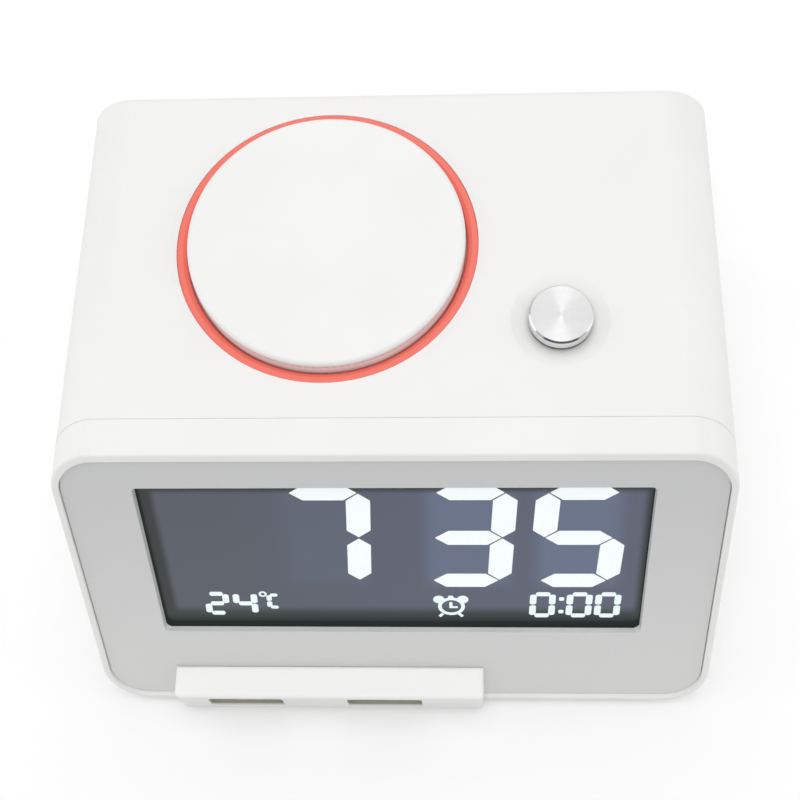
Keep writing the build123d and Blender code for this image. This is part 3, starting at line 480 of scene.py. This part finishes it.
def lit_piece(name, mesh, finish, softening):
    """Softens the corners, gives the shutters their thin rise and lays them on the glass."""
    if softening:
        bmesh.ops.bevel(
            mesh,
            geom=mesh.verts[:],
            offset=softening,
            affect="VERTICES",
            segments=3,
            profile=0.5,
            material=-1,
        )
    grown = bmesh.ops.extrude_face_region(mesh, geom=mesh.faces[:])
    top = [v for v in grown["geom"] if isinstance(v, bmesh.types.BMVert)]
    bmesh.ops.translate(mesh, vec=(0, 0, segment_lift), verts=top)
    bmesh.ops.recalc_face_normals(mesh, faces=mesh.faces[:])
    bmesh.ops.transform(mesh, matrix=display_space, verts=mesh.verts[:])
    finished(name, mesh, finish, "clock")


large_light = lit_finish("Large figure light", (0.92, 0.985, 0.99))
small_light = lit_finish("Small figure light", (0.79, 0.965, 0.98))

large_figures = bmesh.new()
for name, place in figure_places.items():
    figure(
        large_figures,
        name,
        centre=(place, figure_row),
        half_width=figure_half_width,
        half_height=figure_half_height,
        halves=(0.00185, 0.00216),
        tips=(0.0024, 0.0018),
        gaps=(0.0002, 0.0002),
        slant=0.042,
    )
lit_piece("large_figures", large_figures, large_light, 0.00012)

small_bars = {
    "halves": (0.00056, 0.00062),
    "tips": (0.00028, 0.00028),
    "gaps": (0.00036, 0.00008),
}
alarm_row, alarm_half_width, alarm_half_height = -0.0142, 0.0018, 0.00311
colon_place, colon_half_size = 0.03066, 0.00048
alarm_time = bmesh.new()
for place in (0.0271, 0.0340, 0.03935):
    spot = (place, alarm_row)
    figure(alarm_time, "0", spot, alarm_half_width, alarm_half_height, **small_bars, slant=0.02)
for dot_rise in (-0.00198, 0.001728):
    dot = Matrix.Translation((colon_place, alarm_row + dot_rise, 0))
    bmesh.ops.create_grid(
        alarm_time, x_segments=0, y_segments=0, size=colon_half_size, matrix=dot
    )
lit_piece("alarm_time", alarm_time, small_light, 0.00022)

warmth_row, warmth_half_width, warmth_half_height = -0.01395, 0.00172, 0.00282
temperature = bmesh.new()
for name, place in (("2", -0.03485), ("4", -0.02942)):
    spot = (place, warmth_row)
    figure(
        temperature, name, spot, warmth_half_width, warmth_half_height, **small_bars, slant=0.03
    )
figure(
    temperature,
    "C",
    centre=(-0.02385, -0.01325),
    half_width=0.00092,
    half_height=0.00178,
    halves=(0.00042, 0.00050),
    tips=small_bars["tips"],
    gaps=(0.00010, 0.00002),
    slant=0.03,
)
lit_piece("temperature", temperature, small_light, 0.00018)


def ring_outline(mesh, centre, outer, inner):
    """A flat ring, made by spinning one edge round its centre."""
    ends = [mesh.verts.new((centre[0] + r, centre[1], 0)) for r in (inner, outer)]
    edge = mesh.edges.new(ends)
    bmesh.ops.spin(
        mesh,
        geom=[*ends, edge],
        cent=(*centre, 0),
        axis=(0, 0, 1),
        angle=2 * pi,
        steps=32,
        use_merge=True,
    )


degree_ring = bmesh.new()
ring_outline(degree_ring, centre=(-0.02585, -0.0112), outer=0.00078, inner=0.00040)
lit_piece("degree_ring", degree_ring, small_light, 0)

# Alarm symbol: a small alarm clock with two bells, two feet, two hands and a stud on top, lit like
# the figures. Each bell is a disc of which the part towards the ring is cut away.
symbol_centre = Vector((0.0098, -0.0149))
symbol_ring_centre = symbol_centre + Vector((0.0001, 0.0002))
symbol_ring_outer, symbol_ring_inner = 0.00256, 0.00186
symbol_face = bmesh.new()
ring_outline(symbol_face, symbol_ring_centre, symbol_ring_outer, symbol_ring_inner)
lit_piece("alarm_symbol_ring", symbol_face, small_light, 0)

bell_radius = 0.00108
foot_corners = (
    (0.00175, -0.00176),
    (0.00243, -0.00258),
    (0.00201, -0.00302),
    (0.00133, -0.00220),
)
hands_and_stud = (
    ((-0.0003, 0), (0.0003, 0), (0.0003, 0.0014), (-0.0003, 0.0014)),
    ((-0.0003, -0.0003), (0.0013, -0.0003), (0.0013, 0.0002), (-0.0003, 0.0002)),
    ((-0.0006, 0.0026), (0.0006, 0.0026), (0.0004, 0.0033), (-0.0004, 0.0033)),
)
alarm_symbol = bmesh.new()
for over in (-1, 1):
    bell_centre = symbol_centre + Vector((over * 0.00225, 0.00222))
    cut = symbol_centre + Vector((over * 0.00178, 0.00176))
    bell = bmesh.ops.create_circle(
        alarm_symbol,
        cap_ends=True,
        segments=20,
        radius=bell_radius,
        matrix=Matrix.Translation((*bell_centre, 0)),
    )
    bell_edges = {e for v in bell["verts"] for e in v.link_edges}
    bmesh.ops.bisect_plane(
        alarm_symbol,
        geom=[*bell["verts"], *bell_edges, *alarm_symbol.faces],
        plane_co=(*cut, 0),
        plane_no=(over * 0.71, 0.70, 0),
        clear_inner=True,
    )
    outline(alarm_symbol, [symbol_centre + Vector((over * x, y)) for x, y in foot_corners])
for corners in hands_and_stud:
    outline(alarm_symbol, [symbol_centre + Vector(corner) for corner in corners])
lit_piece("alarm_symbol", alarm_symbol, small_light, 0)

# Backlight box: a tray of white filled plastic behind the glass, moulded with a dull surface that
# spreads the light of its lamps. Only someone who opens the clock sees it.
tray_white = moulded("Backlight tray", (0.86, 0.87, 0.88), 0.6)
dress(tray_white, "backlight_box")


# Circuit boards: glass-fibre sheet under green lacquer, with a lattice of copper tracks that shows
# as a lighter green, and a dull copper sheen where the lacquer is thin.
def lacquered_board(name, across, along):
    """Green lacquer with straight tracks that run in two directions."""
    finish = Finish(name, Coat_Roughness=0.2, Coat_Weight=0.3)
    parts = dict(zip("xyz", finish.axes()))
    pitch = 0.0021
    tracks = 0
    for way in (across, along):
        lines = (parts[way] * (2 * pi / pitch)).wave().soft_step(0.72, 0.86)
        patches = finish.noise(140 if way == across else 165, 1.0).soft_step(0.52, 0.55)
        tracks = tracks + lines * patches
    tracks = tracks.least(1.0)
    finish.set(
        {
            "Base Color": finish.mix(tracks, (0.020, 0.110, 0.045), (0.060, 0.215, 0.085)),
            "Roughness": finish.noise(900).between(0.28, 0.42),
        }
    )
    finish.bump(tracks, 0.00004)
    return finish


dress(lacquered_board("Level board lacquer", "x", "y"), "top_board", "usb_board", "power_board")
dress(lacquered_board("Upright board lacquer", "x", "z"), "button_board", "display_board")

# Light ring: coral polycarbonate that a ring of lamps lights from below. It is translucent, so
# its upper edge looks milky. Beside the button its colour and glow are painted a deeper red, a
# painted shade of the crevice between the ring and the button.
button_centre = sum(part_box("snooze_button"), Vector()) / 2
coral = Finish(
    "Coral light ring",
    Roughness=0.32,
    IOR=1.58,
    Subsurface_Weight=0.35,
    Subsurface_Radius=(0.0022, 0.0007, 0.0005),
    Subsurface_Scale=1.0,
    Emission_Strength=0.47,
)
# Painted shade: colour and glow darken towards the button's edge.
painted_shade_radius, unshaded_radius = 0.0251, 0.0257
out_of_painted_shade = coral.reach(button_centre).soft_step(painted_shade_radius, unshaded_radius)
milk = coral.noise(420, 2.0)
coral_painted_shade, bright_coral = (0.24, 0.013, 0.012), (0.50, 0.062, 0.046)
glow_painted_shade, bright_light = (0.18, 0.007, 0.007), (0.84, 0.200, 0.135)
coral.set(
    {
        "Base Color": coral.mix(out_of_painted_shade * milk.between(0.8, 1.0), coral_painted_shade, bright_coral),
        "Emission Color": coral.mix(out_of_painted_shade, glow_painted_shade, bright_light),
    }
)
dress(coral, "light_ring")

# Snooze button: a shallow white cap, 50 mm across, with a crown that stands a little above the
# solid's. Its top was vapour-smoothed, so the grain is weak there and the sheen is soft.
button_white = moulded("White button ABS", (0.895, 0.895, 0.885), 0.38, grain=0.000008)
dress(button_white, "snooze_button")
cap_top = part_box("snooze_button")[1].z
crown_radius, crown_edge, edge_steps = 0.025, 0.0008, 6
crown_top, crown_foot = cap_top + 0.0006, cap_top - 0.0010
crown_profile = [(0, crown_top)]
for step in range(edge_steps + 1):
    turn = pi / 2 * step / edge_steps
    crown_profile.append(
        (
            crown_radius - crown_edge * (1 - sin(turn)),
            crown_top - crown_edge * (1 - cos(turn)),
        )
    )
crown_profile += [(crown_radius, crown_foot), (0, crown_foot)]
crown = bmesh.new()
line = [crown.verts.new((button_centre.x + r, button_centre.y, z)) for r, z in crown_profile]
line_edges = [crown.edges.new(pair) for pair in zip(line, line[1:])]
bmesh.ops.spin(
    crown,
    geom=[*line, *line_edges],
    cent=button_centre,
    axis=(0, 0, 1),
    angle=2 * pi,
    steps=128,
    use_merge=True,
)
bmesh.ops.remove_doubles(crown, verts=crown.verts[:], dist=0.000002)
bmesh.ops.recalc_face_normals(crown, faces=crown.faces[:])
for part in crown.faces:
    part.smooth = abs(part.normal.z) < 0.999
finished("snooze_crown", crown, button_white, "snooze")


# Plated steel: the return spring, the encoder's can, the socket shells and the screws. Drawn or
# pressed steel under a thin bright plating, with fine scratches along its length.
def plated(name, colour, low, high, scratch=(3000, 3000, 260)):
    """Plated metal with fine scratches that run along one way."""
    finish = Finish(name, Metallic=1.0)
    scratches = finish.noise(1, 3.0, 0.6, stretch=scratch)
    tarnish = finish.noise(300, 2.0)
    dull = tuple(0.82 * part for part in colour)
    finish.set(
        {
            "Base Color": finish.mix(tarnish.soft_step(0.35, 0.8), colour, dull),
            "Roughness": scratches.between(low, high),
        }
    )
    finish.bump(scratches, 0.000004)
    return finish


bright_steel = plated("Plated steel", (0.62, 0.62, 0.63), 0.18, 0.36)
dress(bright_steel, "snooze_spring", "encoder_body", "encoder_shaft", "usb_socket_left")
dress(bright_steel, "usb_socket_right", "mode_switch_body", "speaker_basket", "inner_screws")
dark_screw = plated("Blackened screws", (0.20, 0.20, 0.21), 0.25, 0.45, scratch=(900, 900, 900))
dress(dark_screw, "cover_screws")

# Black mouldings: switches, the jacks' bodies, the mode slider, the encoder's slider and the
# battery holder, all of glass-filled plastic with a dry, slightly fibrous surface.
black_moulding = moulded("Black moulding", (0.028, 0.028, 0.030), 0.5, grain=0.00003)
dress(black_moulding, "snooze_switch", "rear_switches", "encoder_slider", "mode_slider")
dress(black_moulding, "dc_jack", "shaker_jack", "battery_holder")

# Lamps of the ring: small blocks of creamy white plastic, moulded round a lead frame, each with a
# drop of clear resin in its middle. They stand on the top board below the ring.
lamp_white = moulded("Lamp housing", (0.84, 0.83, 0.74), 0.4)
dress(lamp_white, "ring_lamps")

# Knob: aluminium bar turned on a lathe. The cutter leaves fine circles on its face, which draw
# the light into a bow, and the chamfer round the face is cut bright with a diamond.
knob_low, knob_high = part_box("knob_cap")
knob_radius = (knob_high.x - knob_low.x) / 2
knob = Finish("Turned aluminium", Metallic=1.0, Anisotropic=0.95, Anisotropic_Rotation=0.25)
knob_z = knob.axes()[2]
knob_reach = knob.reach((knob_low + knob_high) / 2)
groove_pitch = 0.00016
grooves = (knob_reach * (2 * pi / groove_pitch)).wave() * 0.5 + 0.5
groove_tone = knob.noise(1, 2.0, 0.6, stretch=(900, 900, 900))
on_face = knob_z.soft_step(knob_high.z - 0.00005, knob_high.z - 0.00001)
on_turning = on_face * (1 - knob_reach.soft_step(knob_radius - 0.00032, knob_radius - 0.00026))
above_wall = knob_z.soft_step(knob_high.z - 0.0004, knob_high.z - 0.0003)
# The foot of the wall is painted dark, a painted shade of the gap under the knob.
above_painted_foot_shade = knob_z.soft_step(knob_low.z + 0.0004, knob_low.z + 0.0007)
turned_tone = knob.mix(groove_tone, (0.70, 0.70, 0.705), (0.77, 0.77, 0.775))
wall_tone_with_painted_foot_shade = knob.mix(above_painted_foot_shade, (0.10, 0.10, 0.11), (0.88, 0.88, 0.885))
knob.set(
    {
        "Base Color": knob.mix(above_wall, wall_tone_with_painted_foot_shade, turned_tone),
        "Roughness": on_turning.between(0.16, 0.41),
    }
)
knob.bump(grooves * on_turning, 0.000004)
dress(knob, "knob_cap")

# Socket tongues: white plastic blades inside the charging sockets, with four flat contacts each,
# stamped from bronze strip and flashed with gold where the plug's springs rub.
tongue_white = moulded("Tongue plastic", (0.80, 0.80, 0.78), 0.45)
dress(tongue_white, "usb_tongues")

contact_gold = plated("Gold flash", (0.86, 0.62, 0.26), 0.16, 0.3)
tongue_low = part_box("usb_tongues")[0]
contact_pitch, contact_setback = 0.0024, 0.0048
contact_width, contact_length, contact_rise = 0.001, 0.0075, 0.00005
contact_size = Matrix.Diagonal((contact_width, contact_length, contact_rise, 1))
contacts = bmesh.new()
for socket in ("usb_socket_left", "usb_socket_right"):
    socket_middle = sum(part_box(socket), Vector()) / 2
    for step in (-1.5, -0.5, 0.5, 1.5):
        contact_middle = (
            socket_middle.x + step * contact_pitch,
            tongue_low.y + contact_setback,
            tongue_low.z - contact_rise / 2,
        )
        strip_space = Matrix.Translation(contact_middle) @ contact_size
        strip = bmesh.ops.create_cube(contacts, size=1, matrix=strip_space)
        bmesh.ops.bevel(
            contacts,
            geom=list({e for v in strip["verts"] for e in v.link_edges}),
            offset=0.00001,
            affect="EDGES",
            segments=2,
            profile=0.5,
            material=-1,
        )
finished("usb_contacts", contacts, contact_gold, "clock")

# Rear buttons: four round caps of grey ABS, moulded with a satin face. They sit in the rear cover
# and each pushes the switch behind it.
grey_cap = moulded("Grey button ABS", (0.34, 0.345, 0.35), 0.42, grain=0.000014)
dress(grey_cap, "rear_button_1", "rear_button_2", "rear_button_3", "rear_button_4")

# Speaker cone: paper pulp that was drawn on to a screen, pressed and dyed nearly black. Loose
# fibres in its surface show as pale flecks.
cone = Finish("Pressed paper cone")
fibres = cone.noise(1, 4.0, 0.7, stretch=(2400, 2400, 700))
cone.set(
    {
        "Base Color": cone.mix(
            fibres.soft_step(0.55, 0.8), (0.022, 0.021, 0.020), (0.085, 0.080, 0.074)
        ),
        "Roughness": fibres.between(0.75, 0.95),
    }
)
cone.bump(fibres, 0.00006)
dress(cone, "speaker_cone")

# Coin cell and its contact: a rolled steel can with a bright, faintly ringed face, and a strip of
# plated brass that presses on it.
cell_steel = plated("Rolled steel can", (0.72, 0.72, 0.73), 0.12, 0.26)
dress(cell_steel, "coin_cell")
contact_brass = plated("Plated brass", (0.80, 0.62, 0.34), 0.2, 0.34)
dress(contact_brass, "battery_contact")

# Feet: four discs of grey rubber, cut from sheet and glued into their seats. They are matt, and a
# little dusty where they grip the table.
rubber = Finish("Foot rubber", Specular_IOR_Level=0.3)
dust = rubber.noise(520, 3.0)
rubber.set(
    {
        "Base Color": rubber.mix(
            dust.soft_step(0.5, 0.75), (0.070, 0.070, 0.072), (0.16, 0.16, 0.155)
        ),
        "Roughness": dust.between(0.72, 0.92),
    }
)
rubber.bump(rubber.noise(2400, 2.0), 0.00004)
dress(rubber, "rubber_feet")

# Table: a wide white sheet. Where the camera or a shiny piece sees it, it glows a little, more so
# far from the clock, so that it is burnt out to white round a soft shadow.
floor = Finish("White sheet", Roughness=0.9, Specular_IOR_Level=0.1, Emission_Strength=0.45)
floor_white = (0.89, 0.89, 0.89)
floor_dull = tuple(0.985 * part for part in floor_white)
near_glow, far_glow = (0.28, 0.28, 0.28), (1, 1, 1)
glow_start, glow_full = 0.25, 1.1
floor_glow = floor.mix(
    floor.reach(Vector((0, 0))).soft_step(glow_start, glow_full), near_glow, far_glow
)
floor_seen = floor.ray("Camera").most(floor.ray("Glossy"))
floor.set(
    {
        "Base Color": floor.mix(floor.noise(6, 2.0), floor_dull, floor_white),
        "Emission Color": floor.mix(floor_seen, (0, 0, 0), floor_glow),
    }
)
sheet = bmesh.new()
bmesh.ops.create_circle(sheet, cap_ends=True, segments=96, radius=4.0)
sheet_data = bpy.data.meshes.new("table_sheet")
sheet.to_mesh(sheet_data)
sheet.free()
sheet_data.materials.append(floor.material)
table_sheet = bpy.data.objects.new("table_sheet", sheet_data)
bpy.context.scene.collection.objects.link(table_sheet)

# Room: white walls, which look brighter to the camera than they shine. In front of the table the
# studio is dark, low and narrow: only a shiny piece sees that, and the knob's chamfer draws it as
# its dark line.
world = bpy.data.worlds.new("White room")
world.use_nodes = True
world.node_tree.nodes.remove(world.node_tree.nodes["Background"])
bpy.context.scene.world = world
room = Nodes(world.node_tree, "Generated")
wall_white = (1, 1, 1, 1)
lit_wall = room.node("Background", {}, {"Color": wall_white, "Strength": 0.60})
seen_wall = room.node("Background", {}, {"Color": wall_white, "Strength": 1.0})
dark_studio = room.node("Background", {}, {"Color": (0.05, 0.045, 0.07, 1), "Strength": 1.0})
_, toward_y, toward_z = room.axes()
in_studio = room.ray("Glossy") * (toward_y < -0.62) * (toward_z > 0.16) * (toward_z < 0.66)
wall_seen = room.ray("Camera").most(room.ray("Transmission"))
walls = room.node("MixShader", {}, {0: wall_seen, 1: lit_wall, 2: seen_wall})
surroundings = room.node("MixShader", {}, {0: in_studio, 1: walls, 2: dark_studio})
room.join(world.node_tree.nodes["World Output"].inputs["Surface"], surroundings)


# Lamps: a long softbox overhead, which the knob's turned face draws as a bow, and a square one at
# each side, the left a little stronger, as round a product table.
def softbox(name, place, width, length, power):
    """A softbox that faces the clock's middle."""
    data = bpy.data.lights.new(name, "AREA")
    data.shape = "RECTANGLE"
    data.size = width
    data.size_y = length
    data.energy = power
    lamp = bpy.data.objects.new(name, data)
    lamp.location = place
    lamp.rotation_euler = (-place).to_track_quat("-Z", "Y").to_euler()
    bpy.context.scene.collection.objects.link(lamp)


softbox("overhead softbox", Vector((0.0, 0.05, 1.1)), 0.7, 2.0, 5.6)
softbox("left softbox", Vector((-0.95, 0.1, 0.45)), 0.8, 0.8, 1.65)
softbox("right softbox", Vector((0.95, 0.1, 0.45)), 0.8, 0.8, 1.45)

# Camera: above and in front of the clock, a little to its right, and turned slightly on its own
# axis, as the perspective of the photograph gives it.
camera_azimuth = radians(7.979)
camera_height_angle = radians(67.453)
camera_roll = radians(-7.699)
camera_place = Vector((0.01450, -0.10189, 0.28522))
lens_millimetres = 62.919
back = Vector(
    (
        sin(camera_azimuth) * cos(camera_height_angle),
        -cos(camera_azimuth) * cos(camera_height_angle),
        sin(camera_height_angle),
    )
)
level_right = Vector((cos(camera_azimuth), sin(camera_azimuth), 0))
level_up = back.cross(level_right)
right = level_right * cos(camera_roll) + level_up * sin(camera_roll)
up = level_up * cos(camera_roll) - level_right * sin(camera_roll)
camera_data = bpy.data.cameras.new("camera")
camera_data.sensor_width = 36.0
camera_data.lens = lens_millimetres
camera_data.clip_start = 0.01
camera = bpy.data.objects.new("camera", camera_data)
turn = Matrix((right, up, back)).transposed().to_4x4()
camera.matrix_world = Matrix.Translation(camera_place) @ turn
bpy.context.scene.collection.objects.link(camera)
bpy.context.scene.camera = camera
bpy.context.scene.view_settings.view_transform = "Standard"
